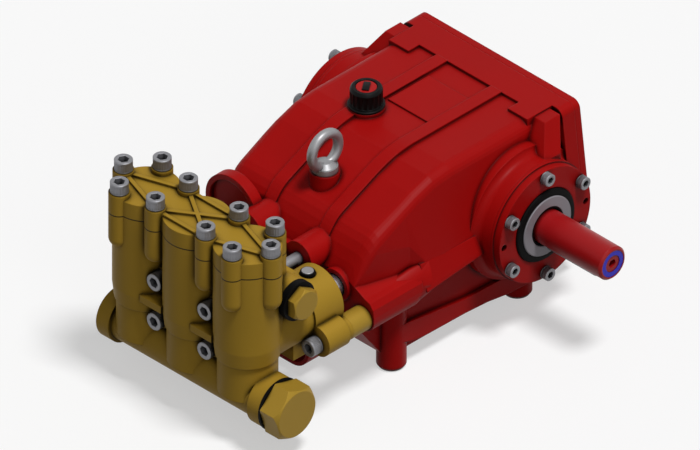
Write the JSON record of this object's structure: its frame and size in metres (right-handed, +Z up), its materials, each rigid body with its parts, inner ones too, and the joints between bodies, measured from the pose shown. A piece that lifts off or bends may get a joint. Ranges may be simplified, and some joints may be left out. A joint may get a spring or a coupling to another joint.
{
  "type": "triplex plunger pump",
  "caption": "Triplex high pressure plunger pump: ribbed cast crankcase on four feet, brass valve block on tie bolts, keyed drive shaft.",
  "frame": {"origin": "centre of the four foot holes, on the plane of the soles of the feet", "axes": "+X along the crankshaft towards the drive end, +Y away from the valve block, +Z up"},
  "size_m": [0.3725, 0.45, 0.231],
  "materials": {
    "red_paint": "satin",
    "shaft_red": "satin",
    "valve_brass": "satin",
    "plug_brass": "satin",
    "screw_steel": "satin",
    "plated_steel": "satin",
    "seal_steel": "satin",
    "plunger_steel": "polished",
    "black_rubber": "matte",
    "black_plastic": "matte",
    "blue_plastic": "satin",
    "red_plastic": "gloss",
    "sight_glass": "clear"
  },
  "bodies": {
    "pump_body": {"crankcase": "red_paint", "drip_tray": "red_paint", "rear_cover": "red_paint", "rear_cover_screws": "screw_steel", "oil_level_glass": "sight_glass", "oil_level_bezel": "plated_steel", "drain_plug": "plated_steel", "bearing_cover_right": "red_paint", "bearing_cover_left": "red_paint", "cover_screws_right": "screw_steel", "cover_screws_left": "screw_steel", "shaft_seal": "seal_steel", "shaft_seal_lip": "black_rubber", "filler_cap": "black_plastic", "filler_cap_disc": "red_plastic", "lifting_eye": "plated_steel", "valve_block": "valve_brass", "valve_cover": "valve_brass", "valve_cover_screws": "screw_steel", "suction_plug": "plug_brass", "suction_plug_ring": "black_rubber", "discharge_plug": "plug_brass", "discharge_plug_ring": "black_rubber", "seal_casing": "valve_brass", "casing_plugs": "plated_steel", "valley_tie_bolts": "screw_steel", "corner_tie_bolts": "screw_steel", "spacer_sleeves": "plug_brass", "plunger_left": "plunger_steel", "plunger_middle": "plunger_steel", "plunger_right": "plunger_steel"},
    "crankshaft": {"drive_shaft": "shaft_red", "shaft_end_ring": "blue_plastic", "shaft_key": "screw_steel"}
  },
  "joints": [
    {"name": "crankshaft_spin", "type": "hinge", "parent": "pump_body", "child": "crankshaft", "pos_m": [0, 0.0685, 0.11], "axis": [1, 0, 0], "continuous": true}
  ]
}
